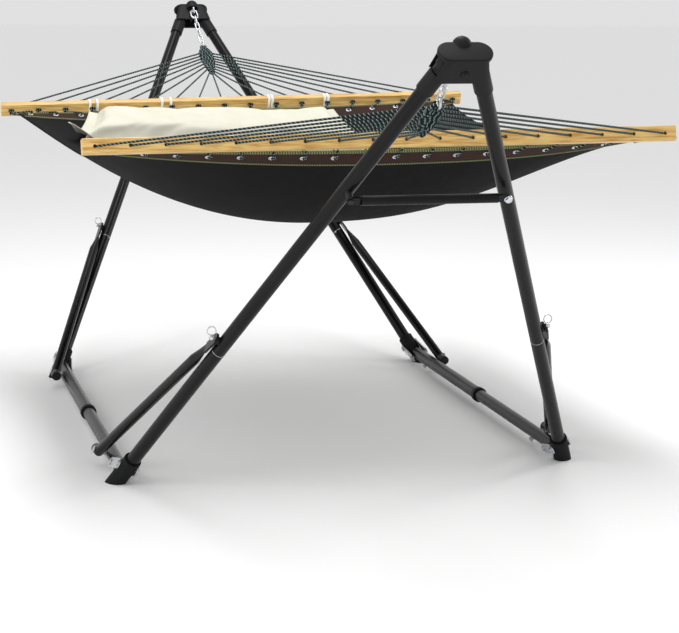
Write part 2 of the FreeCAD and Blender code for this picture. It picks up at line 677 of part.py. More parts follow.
for side, sx in SIDES.items():
    for end, sy in ENDS.items():
        save(f"{side}_{end}_leg_lower", [leg_lower(sx, sy)])
        save(f"{side}_{end}_leg_upper", [leg_upper(sx, sy)])
        save(f"{side}_{end}_brace", [brace(sx, sy)])
        save(f"{side}_{end}_brace_cap", [brace_cap(sx, sy)])
        save(f"{side}_{end}_brace_pin", [brace_pin(sx, sy)])
    save(f"{side}_leg_sleeves", [leg_sleeve(sx, sy) for sy in (-1, 1)])
    save(f"{side}_boots", [boot(sx, sy) for sy in (-1, 1)])
    save(f"{side}_foot_plates", [foot_plate(sx, sy, n) for sy in (-1, 1) for n in (-PLATE_N, PLATE_N)])
    save(f"{side}_brace_lugs", [brace_lug(sx, sy) for sy in (-1, 1)])
    save(f"{side}_base_outer", [base_outer(sx)])
    save(f"{side}_base_inner", [base_inner(sx)])
    save(f"{side}_base_collar", [base_collar(sx)])
    bolts = []
    for sy in (-1, 1):
        y, u = leg_yu(PLATE_LEG_S)
        face = PLATE_N + PLATE_T / 2
        bolts.append(bolt(sx, sy * y, u, -face, face))
        bolts.append(bolt(sx, sy * PLATE_BASE_Y, 0.0, -face, face))
        bolts.append(bolt(sx, sy * BRACE_Y, BRACE_U, -BASE_OUTER_R - 1, BRACE_N + BRACE_R + 0.4))
    save(f"{side}_bolts", bolts)

for end, sy in ENDS.items():
    save(f"{end}_crown_body", [crown_body(sy)])
    save(f"{end}_crown_cap", [crown_cap(sy)])
    save(f"{end}_cross_bar", [cross_bar(sy)])
    save(f"{end}_cross_bolt", [cross_bolt(sy)])
    save(f"{end}_spreader_bar", [spreader_bar(sy)], on_stand=False)
    save(f"{end}_ropes", fan_ropes(sy), on_stand=False)
save("cross_bar_rivets", [cross_rivet(sy) for sy in (-1, 1)])
save("crown_pins", crown_pins(-1) + crown_pins(1))
save("hook_eyes", [hook_eye(sy) for sy in (-1, 1)])
save("chain_links", chain(-1) + chain(1), on_stand=False)
save("clew_rings", [clew_ring(sy) for sy in (-1, 1)], on_stand=False)
save("clews", [clew(sy) for sy in (-1, 1)], on_stand=False)
save("lashings", lashings(), on_stand=False)
save("bed", bed(), on_stand=False)
save("grommets", grommets(), on_stand=False)
save("pillow", [pillow()], on_stand=False)
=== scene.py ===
import math

import bmesh
import bpy
from mathutils import Matrix, Vector, noise


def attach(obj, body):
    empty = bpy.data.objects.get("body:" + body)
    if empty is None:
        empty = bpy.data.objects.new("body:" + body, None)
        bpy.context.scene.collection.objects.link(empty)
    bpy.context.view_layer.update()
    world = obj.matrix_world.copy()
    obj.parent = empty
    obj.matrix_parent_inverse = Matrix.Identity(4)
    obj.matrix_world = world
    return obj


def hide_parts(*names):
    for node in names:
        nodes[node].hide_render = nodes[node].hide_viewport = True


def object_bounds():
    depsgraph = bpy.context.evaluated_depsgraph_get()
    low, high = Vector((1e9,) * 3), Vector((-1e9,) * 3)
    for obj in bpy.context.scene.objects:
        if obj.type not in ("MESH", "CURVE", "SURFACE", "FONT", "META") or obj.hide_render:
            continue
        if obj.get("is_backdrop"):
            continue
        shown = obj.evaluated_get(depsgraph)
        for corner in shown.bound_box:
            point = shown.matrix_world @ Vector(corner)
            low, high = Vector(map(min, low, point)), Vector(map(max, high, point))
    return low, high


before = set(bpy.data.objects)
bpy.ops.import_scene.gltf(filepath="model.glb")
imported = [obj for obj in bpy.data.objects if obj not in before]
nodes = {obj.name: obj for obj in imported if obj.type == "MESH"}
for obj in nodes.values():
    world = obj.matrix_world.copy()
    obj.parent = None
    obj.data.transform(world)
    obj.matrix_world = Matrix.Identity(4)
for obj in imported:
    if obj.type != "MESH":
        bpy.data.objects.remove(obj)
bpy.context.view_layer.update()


# --- Steel frame ------------------------------------------------------------------------
# Legs, base bars, braces and cross bars: thin-walled round steel tube, cut, swaged and
# drilled, then powder-coated satin black in one colour.

def linear(hex_colour):
    """sRGB hex to the linear values that a shader works in."""
    values = [int(hex_colour[i:i + 2], 16) / 255 for i in (1, 3, 5)]
    return [v / 12.92 if v <= 0.04045 else ((v + 0.055) / 1.055) ** 2.4 for v in values] + [1.0]


def node(material, kind, settings=None, inputs=None):
    """Add a shader node, set its own settings, and give its inputs values or links."""
    made = material.node_tree.nodes.new(kind)
    for name, value in (settings or {}).items():
        setattr(made, name, value)
    for name, value in (inputs or {}).items():
        if isinstance(value, bpy.types.NodeSocket):
            material.node_tree.links.new(value, made.inputs[name])
        else:
            made.inputs[name].default_value = value
    return made


def new_material(name, **values):
    """Material with one Principled shader, and uniform values on its own sockets."""
    material = bpy.data.materials.new(name)
    material.use_nodes = True
    shader = material.node_tree.nodes["Principled BSDF"]
    for key, value in values.items():
        shader.inputs[key.replace("_", " ")].default_value = value
    return material, shader


def link(material, output, socket):
    material.node_tree.links.new(output, socket)


def finish_with(material, names):
    for name in names:
        for slot in nodes[name].material_slots:
            slot.material = material


# Powder coat on mild steel: sprayed and baked polyester. It shows as a satin film with
# a fine orange peel, 1.4 mm across, and a little dust in the roughness.
powder_coat, shader = new_material("powder_coated_steel", Roughness=0.3, Specular_IOR_Level=0.2)
place = node(powder_coat, "ShaderNodeTexCoord").outputs["Object"]
peel = node(powder_coat, "ShaderNodeTexNoise", None,
            {"Vector": place, "Scale": 1 / 0.0014, "Detail": 2.0})
dust = node(powder_coat, "ShaderNodeTexNoise", None,
            {"Vector": place, "Scale": 1 / 0.09, "Detail": 5.0})
tint = node(powder_coat, "ShaderNodeMix", {"data_type": "RGBA"},
            {0: dust.outputs["Fac"], 6: linear("#080809"), 7: linear("#111112")})
link(powder_coat, tint.outputs[2], shader.inputs["Base Color"])
rough = node(powder_coat, "ShaderNodeMapRange", None,
             {"Value": dust.outputs["Fac"], "To Min": 0.22, "To Max": 0.34})
link(powder_coat, rough.outputs[0], shader.inputs["Roughness"])
bump = node(powder_coat, "ShaderNodeBump", None,
            {"Height": peel.outputs["Fac"], "Strength": 0.12, "Distance": 0.0006})
link(powder_coat, bump.outputs[0], shader.inputs["Normal"])

finish_with(powder_coat, [n for n in nodes if "leg_" in n and "sleeves" not in n or "base_outer" in n
                          or "base_inner" in n or n.endswith("_brace") or n.endswith("_lugs")
                          or n.endswith("cross_bar")])


# --- Leg joints -------------------------------------------------------------------------
# Each leg is two tubes: the upper one's swaged end sits in the lower one, and a spring
# button holds it. The joint shows as a fine bright line with a small zinc dot.

STAND_X = -0.0325                                          # the stand's middle plane
FOOT_X, FOOT_Y, FOOT_Z = 0.537, 0.640, 0.030
CROWN_X, CROWN_Y, CROWN_Z = 0.026, 1.489, 1.030
SEAM_SHARE = 0.332                                         # the tubes' joint, up the leg
LEG_R = 0.016


def leg_point(sx, sy, share):
    """Point of a leg's centre line: share is 0 at the foot and 1 at the crown."""
    foot = Vector((sx * FOOT_X + STAND_X, sy * FOOT_Y, FOOT_Z))
    crown = Vector((sx * CROWN_X + STAND_X, sy * CROWN_Y, CROWN_Z))
    return foot.lerp(crown, share)


def piece(name, bm, material, body):
    """Object from a bmesh, at the origin, riding on its CAD body."""
    mesh = bpy.data.meshes.new(name)
    bm.to_mesh(mesh)
    bm.free()
    mesh.materials.append(material)
    mesh.shade_smooth()
    made = bpy.data.objects.new(name, mesh)
    bpy.context.scene.collection.objects.link(made)
    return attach(made, body)


def along(a, b):
    """Placement at a with Z towards b."""
    return Matrix.Translation(a) @ (b - a).to_track_quat("Z", "Y").to_matrix().to_4x4()


def tube(bm, a, b, r, segments):
    """Closed round bar from a to b."""
    length = (b - a).length
    made = bmesh.ops.create_cone(bm, cap_ends=True, segments=segments, radius1=r, radius2=r,
                                 depth=length)
    bmesh.ops.transform(bm, verts=made["verts"],
                        matrix=along(a, b) @ Matrix.Translation((0, 0, length / 2)))


# Zinc-plated steel: bright electroplate, clear passivated. It shows as a cool grey
# metal with faint cloudiness.
zinc, shader = new_material("zinc_plated_steel", Metallic=1.0, Roughness=0.3)
place = node(zinc, "ShaderNodeTexCoord").outputs["Object"]
cloud = node(zinc, "ShaderNodeTexNoise", None, {"Vector": place, "Scale": 1 / 0.006, "Detail": 4.0})
tint = node(zinc, "ShaderNodeMix", {"data_type": "RGBA"},
            {0: cloud.outputs["Fac"], 6: linear("#a9adb2"), 7: linear("#d9dbde")})
link(zinc, tint.outputs[2], shader.inputs["Base Color"])
rough = node(zinc, "ShaderNodeMapRange", None,
             {"Value": cloud.outputs["Fac"], "To Min": 0.22, "To Max": 0.42})
link(zinc, rough.outputs[0], shader.inputs["Roughness"])
finish_with(zinc, [n for n in nodes if n.endswith("_foot_plates") or n.endswith("_bolts")
                   or n == "hook_eyes"])

# Black-passivated zinc plate on the hidden pins and rivets: dull, with a brown cast
# where it has been rubbed.
black_zinc, shader = new_material("black_passivated_zinc", Metallic=0.6, Roughness=0.45)
place = node(black_zinc, "ShaderNodeTexCoord").outputs["Object"]
rub = node(black_zinc, "ShaderNodeTexNoise", None,
           {"Vector": place, "Scale": 1 / 0.004, "Detail": 4.0})
tint = node(black_zinc, "ShaderNodeMix", {"data_type": "RGBA"},
            {0: rub.outputs["Fac"], 6: linear("#1d1d1e"), 7: linear("#3b3733")})
link(black_zinc, tint.outputs[2], shader.inputs["Base Color"])
finish_with(black_zinc, ["cross_bar_rivets", "crown_pins"])

for side, sx in (("left", -1), ("right", 1)):
    lines = bmesh.new()
    for sy in (-1, 1):
        seam = leg_point(sx, sy, SEAM_SHARE)
        up = (leg_point(sx, sy, 1) - seam).normalized()
        tube(lines, seam - up * 0.0006, seam + up * 0.0006, LEG_R + 0.00015, 40)
        inboard = (Vector((-sx, 0, 0)) - up * (-sx * up.x)).normalized()
        dot = seam + up * 0.004 + (inboard * 0.6 + Vector((0, -1, 0)) * 0.8).normalized() * 0.0155
        made = bmesh.ops.create_uvsphere(lines, u_segments=12, v_segments=8, radius=0.0028)
        bmesh.ops.translate(lines, verts=made["verts"], vec=dot)
    piece(f"{side}_leg_joints", lines, zinc, f"{side}_side")


# --- Plastic and rubber fittings --------------------------------------------------------
# Sleeves, collars, end plugs and crown housings are moulded in black nylon; the boots
# are moulded rubber, pushed on and held by the foot bolts.

# Moulded nylon: spark-eroded mould, so the surface has a fine even grain of about
# 0.8 mm that dulls the shine.
nylon, shader = new_material("moulded_nylon", Roughness=0.5, Specular_IOR_Level=0.18)
place = node(nylon, "ShaderNodeTexCoord").outputs["Object"]
grain = node(nylon, "ShaderNodeTexNoise", None,
             {"Vector": place, "Scale": 1 / 0.0008, "Detail": 3.0})
wear = node(nylon, "ShaderNodeTexNoise", None, {"Vector": place, "Scale": 1 / 0.03, "Detail": 4.0})
tint = node(nylon, "ShaderNodeMix", {"data_type": "RGBA"},
            {0: wear.outputs["Fac"], 6: linear("#131314"), 7: linear("#1e1e20")})
link(nylon, tint.outputs[2], shader.inputs["Base Color"])
rough = node(nylon, "ShaderNodeMapRange", None,
             {"Value": wear.outputs["Fac"], "To Min": 0.42, "To Max": 0.6})
link(nylon, rough.outputs[0], shader.inputs["Roughness"])
bump = node(nylon, "ShaderNodeBump", None,
            {"Height": grain.outputs["Fac"], "Strength": 0.25, "Distance": 0.0004})
link(nylon, bump.outputs[0], shader.inputs["Normal"])
finish_with(nylon, [n for n in nodes if n.endswith("_sleeves") or n.endswith("_collar")
                    or n.endswith("_cap") or n.endswith("crown_body")])

# Moulded rubber: matt, slightly grey where it is scuffed near the floor.
rubber, shader = new_material("moulded_rubber", Roughness=0.75, Specular_IOR_Level=0.15)
place = node(rubber, "ShaderNodeTexCoord").outputs["Object"]
scuff = node(rubber, "ShaderNodeTexNoise", None,
             {"Vector": place, "Scale": 1 / 0.012, "Detail": 6.0})
tint = node(rubber, "ShaderNodeMix", {"data_type": "RGBA"},
            {0: scuff.outputs["Fac"], 6: linear("#101011"), 7: linear("#1e1e1f")})
link(rubber, tint.outputs[2], shader.inputs["Base Color"])
bump = node(rubber, "ShaderNodeBump", None,
            {"Height": scuff.outputs["Fac"], "Strength": 0.2, "Distance": 0.0006})
link(rubber, bump.outputs[0], shader.inputs["Normal"])
finish_with(rubber, [n for n in nodes if n.endswith("_boots")])

# Ball-shaped nylon head that closes each leg's top round its pivot, inside the crown.
HEAD_DROP, HEAD_R = 0.020, 0.0188
for side, sx in (("left", -1), ("right", 1)):
    heads = bmesh.new()
    for sy in (-1, 1):
        crown = leg_point(sx, sy, 1)
        pivot = crown - (crown - leg_point(sx, sy, 0)).normalized() * HEAD_DROP
        ball = bmesh.ops.create_uvsphere(heads, u_segments=32, v_segments=20, radius=HEAD_R)
        bmesh.ops.translate(heads, verts=ball["verts"], vec=pivot)
    piece(f"{side}_leg_heads", heads, nylon, f"{side}_side")


# --- Crown caps -------------------------------------------------------------------------
# Cover plate on each crown: a moulded nylon lid with a rolled edge and a round dome
# over the hook's boss, snapped onto the housing.

FALL = math.atan2(CROWN_Y - FOOT_Y, CROWN_Z - FOOT_Z)      # how far an A-frame leans out


def crown_frame(sy):
    """Placement of a crown: X across, Y off the A-frame's plane outwards, Z up it."""
    up = Vector((0, sy * math.sin(FALL), math.cos(FALL)))
    out = Vector((0, sy * math.cos(FALL), -math.sin(FALL)))
    turn = Matrix((Vector((1, 0, 0)), out, up)).transposed().to_4x4()
    return Matrix.Translation((STAND_X, sy * CROWN_Y, CROWN_Z)) @ turn


LID_HALF, LID_R = 0.0555, 0.0271                           # half its length, half its depth
LID_LOW, LID_HIGH = 0.0121, 0.0175
DOME_R = 0.0198

for end, sy in (("near", -1), ("far", 1)):
    lid = bmesh.new()
    bmesh.ops.create_cone(lid, cap_ends=True, segments=48, radius1=LID_R, radius2=LID_R,
                          depth=LID_HIGH - LID_LOW)
    for v in lid.verts:
        v.co.x += math.copysign(LID_HALF - LID_R, v.co.x) if abs(v.co.x) > 1e-6 else 0.0
        v.co.z += (LID_LOW + LID_HIGH) / 2
    bmesh.ops.translate(lid, verts=lid.verts, vec=(0, 0.0015, 0))
    rim = [e for e in lid.edges if all(v.co.z > 0.017 for v in e.verts) and len(e.link_faces) == 2
           and abs(e.calc_face_angle(0)) > 1]
    bmesh.ops.bevel(lid, geom=rim, offset=0.003, offset_type="OFFSET", segments=4, profile=0.5,
                    affect="EDGES", material=-1)
    dome = bmesh.ops.create_uvsphere(lid, u_segments=32, v_segments=24, radius=DOME_R)
    bmesh.ops.translate(lid, verts=dome["verts"], vec=(0, -0.0236, 0.007))
    low = [v for v in dome["verts"] if v.co.z < 0.0105]
    bmesh.ops.delete(lid, geom=low, context="VERTS")
    rings = [e for e in lid.edges if e.is_boundary]
    bmesh.ops.holes_fill(lid, edges=rings, sides=0)
    bmesh.ops.recalc_face_normals(lid, faces=lid.faces)
    lid.transform(crown_frame(sy))
    bmesh.ops.recalc_face_normals(lid, faces=lid.faces)
    made = piece(f"{end}_crown_lid", lid, nylon, "crowns")
    made.data.set_sharp_from_angle(angle=math.radians(35))
    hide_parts(f"{end}_crown_cap")

    # Black nylon ball over the hook's nut, in the front recess: painted shade, a dark shape that stands for
    # the shade inside the recess.
    cap = bmesh.new()
    bmesh.ops.create_uvsphere(cap, u_segments=24, v_segments=12, radius=0.0084)
    bmesh.ops.translate(cap, verts=cap.verts, vec=(0, 0.0248, -0.020))
    cap.transform(crown_frame(sy))
    bmesh.ops.recalc_face_normals(cap, faces=cap.faces)
    piece(f"{end}_recess_shade_cap", cap, nylon, "crowns")


# --- Chains and rings -------------------------------------------------------------------
# Welded steel links from each crown's eye to the ring in the clew, and the cross bars'
# bolts and the braces' snap pins: all bright nickel-chrome plate on steel.

# Chrome plate: near-mirror, with the faint haze that handling leaves.
chrome, shader = new_material("chrome_plate", Metallic=1.0, Roughness=0.14)
place = node(chrome, "ShaderNodeTexCoord").outputs["Object"]
haze = node(chrome, "ShaderNodeTexNoise", None,
            {"Vector": place, "Scale": 1 / 0.008, "Detail": 3.0})
tint = node(chrome, "ShaderNodeMix", {"data_type": "RGBA"},
            {0: haze.outputs["Fac"], 6: linear("#c4c7cb"), 7: linear("#e6e8ea")})
link(chrome, tint.outputs[2], shader.inputs["Base Color"])
rough = node(chrome, "ShaderNodeMapRange", None,
             {"Value": haze.outputs["Fac"], "To Min": 0.08, "To Max": 0.24})
link(chrome, rough.outputs[0], shader.inputs["Roughness"])
finish_with(chrome, [n for n in nodes if n.endswith("_brace_pin") or n.endswith("_cross_bolt")
                     or n in ("chain_links", "clew_rings", "grommets")])


# --- Spreader bars ----------------------------------------------------------------------
# Two planed pine battens 1.4 m long with eased edges, bored for the ropes and given a
# clear varnish; the grain runs along them.

# Varnished pine: growth rings 5 mm apart seen on a flat-sawn face, drawn out along the
# bar, with fine pores; a clear coat gives the shine.
pine, shader = new_material("varnished_pine", Roughness=0.45, Coat_Weight=0.35, Coat_Roughness=0.18)
place = node(pine, "ShaderNodeTexCoord").outputs["Object"]
stretch = node(pine, "ShaderNodeMapping", None, {"Vector": place, "Scale": (0.06, 1.0, 1.0)})
waver = node(pine, "ShaderNodeTexNoise", None,
             {"Vector": stretch.outputs[0], "Scale": 1 / 0.012, "Detail": 2.0})
grain = node(pine, "ShaderNodeTexNoise", None,
             {"Vector": stretch.outputs[0], "Scale": 1 / 0.005, "Detail": 4.0, "Distortion": 0.8})
rings = node(pine, "ShaderNodeMapRange", None,
             {"Value": grain.outputs["Fac"], "From Min": 0.42, "From Max": 0.66})
base = node(pine, "ShaderNodeMix", {"data_type": "RGBA"},
            {0: waver.outputs["Fac"], 6: linear("#f0d58c"), 7: linear("#dcae5c")})
wood = node(pine, "ShaderNodeMix", {"data_type": "RGBA"},
            {0: rings.outputs[0], 6: base.outputs[2], 7: linear("#c08a3c")})
pores = node(pine, "ShaderNodeTexNoise", None,
             {"Vector": stretch.outputs[0], "Scale": 1 / 0.0009, "Detail": 2.0})
fleck = node(pine, "ShaderNodeMapRange", None,
             {"Value": pores.outputs["Fac"], "From Min": 0.6, "From Max": 0.75, "To Max": 0.35})
timber = node(pine, "ShaderNodeMix", {"data_type": "RGBA"},
              {0: fleck.outputs[0], 6: wood.outputs[2], 7: linear("#a87433")})
link(pine, timber.outputs[2], shader.inputs["Base Color"])
bump = node(pine, "ShaderNodeBump", None,
            {"Height": grain.outputs["Fac"], "Strength": 0.15, "Distance": 0.0005})
link(pine, bump.outputs[0], shader.inputs["Normal"])
finish_with(pine, ["near_spreader_bar", "far_spreader_bar"])

# Each bar's centre, its tilt, and its rise to the right per metre: the pillow's weight
# brings the left ends down.
BAR_Y, BAR_SHIFT = 0.769, 0.0225
BAR = {-1: (Vector((BAR_SHIFT, -BAR_Y, 0.806)), math.radians(12), 0.0095),
       1: (Vector((-BAR_SHIFT, BAR_Y, 0.780)), math.radians(22), 0.0205)}
ROPES = 18
PITCH = 0.079


def bar_place(sy):
    """Centre of a bar, its direction, and the rope holes' outward direction."""
    centre, tilt, rise = BAR[sy]
    out = Vector((0, sy * math.cos(tilt), math.sin(tilt)))
    across = Vector((1, 0, rise))
    return centre, (across - out * across.dot(out)).normalized(), out


def rope_x(i):
    """Place of a rope's hole along its bar, from the bar's centre."""
    return (i - (ROPES - 1) / 2) * PITCH


# --- Clews ------------------------------------------------------------------------------
# Braided polyester cords, plaited flat into a long lozenge under each ring; the fan's
# ropes leave along both its edges.

# Braided cord: black polyester with white and teal tracers. The strands spiral round
# the cord every 11 mm, and each fleck is one tracer coming to the surface.
cord, shader = new_material("braided_cord", Roughness=0.8, Specular_IOR_Level=0.15)
strand = node(cord, "ShaderNodeUVMap", {"uv_map": "along"})
parts = node(cord, "ShaderNodeSeparateXYZ", None, {"Vector": strand.outputs[0]})
turn = node(cord, "ShaderNodeMath", {"operation": "MULTIPLY_ADD"},
            {0: parts.outputs["Y"], 1: 1 / 0.0105, 2: parts.outputs["X"]})
back = node(cord, "ShaderNodeMath", {"operation": "MULTIPLY_ADD"},
            {0: parts.outputs["Y"], 1: 1 / 0.0056, 2: turn.outputs[0]})
lay = node(cord, "ShaderNodeMath", {"operation": "FRACT"}, {0: turn.outputs[0]})
teal_lay = node(cord, "ShaderNodeMath", {"operation": "FRACT"}, {0: back.outputs[0]})
white = node(cord, "ShaderNodeMath", {"operation": "LESS_THAN"}, {0: lay.outputs[0], 1: 0.15})
teal = node(cord, "ShaderNodeMath", {"operation": "LESS_THAN"}, {0: teal_lay.outputs[0], 1: 0.26})
dark = node(cord, "ShaderNodeMix", {"data_type": "RGBA"},
            {0: teal.outputs[0], 6: linear("#0a0c0d"), 7: linear("#1c3a3c")})
cover = node(cord, "ShaderNodeMix", {"data_type": "RGBA"},
             {0: white.outputs[0], 6: dark.outputs[2], 7: linear("#a4b8b2")})
link(cord, cover.outputs[2], shader.inputs["Base Color"])
wave = node(cord, "ShaderNodeMath", {"operation": "PINGPONG"}, {0: turn.outputs[0], 1: 0.25})
bump = node(cord, "ShaderNodeBump", None,
            {"Height": wave.outputs[0], "Strength": 0.5, "Distance": 0.0012})
link(cord, bump.outputs[0], shader.inputs["Normal"])


def strand_tube(bm, points, r, segments=8):
    """Round cord through points; its UV runs along it in metres and once round it."""
    uv = bm.loops.layers.uv.get("along") or bm.loops.layers.uv.new("along")
    rings, lengths, travelled = [], [], 0.0
    normal = (points[1] - points[0]).orthogonal().normalized()
    for i, p in enumerate(points):
        tangent = (points[min(i + 1, len(points) - 1)] - points[max(i - 1, 0)]).normalized()
        normal = (normal - tangent * normal.dot(tangent)).normalized()
        turn = Matrix((tangent.cross(normal), normal, tangent)).transposed().to_4x4()
        made = bmesh.ops.create_circle(bm, cap_ends=i in (0, len(points) - 1), segments=segments,
                                       radius=r, matrix=Matrix.Translation(p) @ turn)
        rings.append(made["verts"])
        travelled += (p - points[max(i - 1, 0)]).length
        lengths.append(travelled)
    for i in range(len(points) - 1):
        low, high = rings[i], rings[i + 1]
        for k in range(segments):
            j = (k + 1) % segments
            face = bm.faces.new((low[k], low[j], high[j], high[k]))
            for loop, (u, v) in zip(face.loops, ((k, i), (k + 1, i), (k + 1, i + 1), (k, i + 1))):
                loop[uv].uv = (u / segments, lengths[v])


def clew_place(sy):
    """Top and lower end of a clew, and its width direction and normal."""
    shift = BAR[sy][0].x - STAND_X
    ring = Vector((STAND_X + shift * 0.23, sy * 1.291, 0.932))
    low = Vector((STAND_X + shift * 0.46, sy * 1.130, 0.850))
    axis = (low - ring).normalized()
    top = ring + axis * 0.0181
    side = (Vector((1, 0, 0)) - axis * axis.x).normalized()
    return top, low, side, axis.cross(side)


for end, sy in (("near", -1), ("far", 1)):
    top, low, side, normal = clew_place(sy)
    plait = bmesh.new()
    strands, turns, steps = 9, 3.2, 64
    for s in range(strands):
        points = []
        for i in range(steps + 1):
            f = i / steps
            wide = 0.004 + 0.0165 * min(1.0, f / 0.22, (1 - f) / 0.5) ** 0.7
            phase = 2 * math.pi * (f * turns + s / strands)
            points.append(top + (low - top) * f + side * (wide * math.sin(phase))
                          + normal * (0.0034 * math.sin(2 * phase) * min(1.0, wide / 0.012)))
        strand_tube(plait, points, 0.0026, 6)
    down = (low - top).normalized()
    loop = []                                              # the eye round the ring
    for i in range(25):
        a = 2 * math.pi * i / 24
        loop.append(top - down * 0.004 + side * (0.009 * math.cos(a)) + normal * (0.0045 * math.sin(a)))
    strand_tube(plait, loop, 0.0024, 6)
    bound = []                                             # three turns of whipping
    for i in range(37):
        a = math.pi * i / 6
        bound.append(low - down * (0.008 - 0.0045 * i / 24) + side * (0.0075 * math.cos(a))
                     + normal * (0.0068 * math.sin(a)))
    strand_tube(plait, bound, 0.0015, 6)
    made = piece(f"{end}_clew_plait", plait, cord, "hammock")
    if sy < 0:
        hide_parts("clews")


# --- Rope fans --------------------------------------------------------------------------
# Taut braided cords, one from the clew to each hole in its bar. Each is held whole
# between two fixings, so it is straight.

# entry is the share of the clew's length over which the ropes join it, from its lower end.
for end, sy, entry in (("near", -1, 0.92), ("far", 1, 0.76)):
    centre, across, out = bar_place(sy)
    top, low, side, normal = clew_place(sy)
    fan = bmesh.new()
    for i in range(ROPES):
        share = rope_x(i) / rope_x(ROPES - 1)
        f = 1 - entry * abs(share) ** 1.2
        half = 0.006 + 0.016 * min(1, (1 - f) / 0.45)
        sideways = math.copysign(half - 0.003, share) * min(1, abs(share) * 3)
        start = top + (low - top) * f + side * sideways
        stop = centre + across * rope_x(i) + out * 0.008
        count = max(2, int((stop - start).length / 0.06))
        strand_tube(fan, [start.lerp(stop, k / count) for k in range(count + 1)], 0.0025, 8)
    made = piece(f"{end}_fan", fan, cord, "hammock")
    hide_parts(f"{end}_ropes")


# --- Bed --------------------------------------------------------------------------------
# Knitted polyester mesh, cut as one sheet 1.31 m by 1.56 m, with a rolled seam down each
# long side and a stiff woven hem across each end. It hangs from the bars by its eyelets.

# The sheet's edge and middle sag to these heights half-way along, and rise to each hem's.
# The right half hangs fuller than the left, so its section is flatter in the middle.
HEM_Y, HALF_MIDDLE, HALF_FLARE = 0.728, 0.600, 0.055
EDGE_Z, MIDDLE_Z = 0.724, 0.524
HEM_Z = {-1: (0.792, 0.775), 1: (0.768, 0.760)}            # edge and middle of each hem
LEFT_POWER, RIGHT_POWER = 2, 2.7


def bed_point(share, y, lift=0.003):
    """Point of the hanging sheet: share is -1 to 1 across it, y is along it."""
    t = (y / HEM_Y) ** 2
    half = HALF_MIDDLE + HALF_FLARE * t
    hem_edge, hem_middle = HEM_Z[1 if y > 0 else -1]
    edge, middle = EDGE_Z + (hem_edge - EDGE_Z) * t, MIDDLE_Z + (hem_middle - MIDDLE_Z) * t
    rise = 0.0150 + 0.0055 * y / BAR_Y
    curve = abs(share) ** (RIGHT_POWER if share > 0 else LEFT_POWER)
    return Vector((-BAR_SHIFT * y / BAR_Y + share * half, y,
                   middle + (edge - middle) * curve + rise * share * half + lift))


def cloth_strip(name, y0, y1, across, lengthwise, thickness, material):
    """Sheet laid on the bed's own curve between two stations, with its UV in metres."""
    bm = bmesh.new()
    bmesh.ops.create_grid(bm, x_segments=across, y_segments=lengthwise, size=1.0)
    uv = bm.loops.layers.uv.new("along")
    spots = {}
    for v in bm.verts:
        share, y = v.co.x, y0 + (y1 - y0) * (v.co.y + 1) / 2
        spots[v] = (share * 0.62, y)
        v.co = bed_point(share, y)
    for face in bm.faces:
        for loop in face.loops:
            loop[uv].uv = spots[loop.vert]
    area = sum(f.calc_area() for f in bm.faces)
    made = piece(name, bm, material, "hammock")
    wall = made.modifiers.new("thickness", "SOLIDIFY")
    wall.thickness, wall.offset = thickness, 0.0
    return made, area


# Knitted mesh: black polyester, matt; the knit's raised crossings are painted lighter, a painted sheen. Its
# holes are 1.5 mm apart;
# they are drawn 5 mm apart so that they show.
mesh_cloth, shader = new_material("knitted_mesh", Roughness=0.9, Specular_IOR_Level=0.12)
thread = node(mesh_cloth, "ShaderNodeUVMap", {"uv_map": "along"}).outputs[0]
knit = node(mesh_cloth, "ShaderNodeMapping", None,
            {"Vector": thread, "Rotation": (0, 0, math.radians(45))})
warp = node(mesh_cloth, "ShaderNodeTexWave", {"bands_direction": "X"},
            {"Vector": knit.outputs[0], "Scale": 0.314 / 0.005, "Distortion": 0.6, "Detail": 1.0})
weft = node(mesh_cloth, "ShaderNodeTexWave", {"bands_direction": "Y"},
            {"Vector": knit.outputs[0], "Scale": 0.314 / 0.005, "Distortion": 0.6, "Detail": 1.0})
over = node(mesh_cloth, "ShaderNodeMath", {"operation": "MULTIPLY"},
            {0: warp.outputs["Fac"], 1: weft.outputs["Fac"]})
slub = node(mesh_cloth, "ShaderNodeTexNoise", None,
            {"Vector": thread, "Scale": 1 / 0.05, "Detail": 5.0})
fade = node(mesh_cloth, "ShaderNodeMix", {"data_type": "RGBA"},
            {0: slub.outputs["Fac"], 6: linear("#09090a"), 7: linear("#121213")})
# Painted sheen: the raised crossings of the knit are coloured lighter than the rest.
knit_painted_sheen = node(mesh_cloth, "ShaderNodeMix", {"data_type": "RGBA"},
           {0: over.outputs[0], 6: fade.outputs[2], 7: linear("#232326")})
link(mesh_cloth, knit_painted_sheen.outputs[2], shader.inputs["Base Color"])
bump = node(mesh_cloth, "ShaderNodeBump", None,
            {"Height": over.outputs[0], "Strength": 0.4, "Distance": 0.001})
pulled = node(mesh_cloth, "ShaderNodeMapping", None, {"Vector": thread, "Scale": (1.0, 0.35, 1.0)})
crumple = node(mesh_cloth, "ShaderNodeTexNoise", None,
               {"Vector": pulled.outputs[0], "Scale": 1 / 0.07, "Detail": 3.0})
folds = node(mesh_cloth, "ShaderNodeBump", None,
             {"Height": crumple.outputs["Fac"], "Strength": 0.5, "Distance": 0.012, "Normal": bump.outputs[0]})
link(mesh_cloth, folds.outputs[0], shader.inputs["Normal"])

sheet, area = cloth_strip("bed_sheet", -0.727, 0.727, 72, 96, 0.0016, mesh_cloth)
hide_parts("bed")

seams = bmesh.new()
for sx in (-1, 1):
    strand_tube(seams, [bed_point(sx * 0.995, -0.725 + 1.45 * i / 60) for i in range(61)], 0.0032, 8)
side_seams = piece("bed_side_seams", seams, mesh_cloth, "hammock")
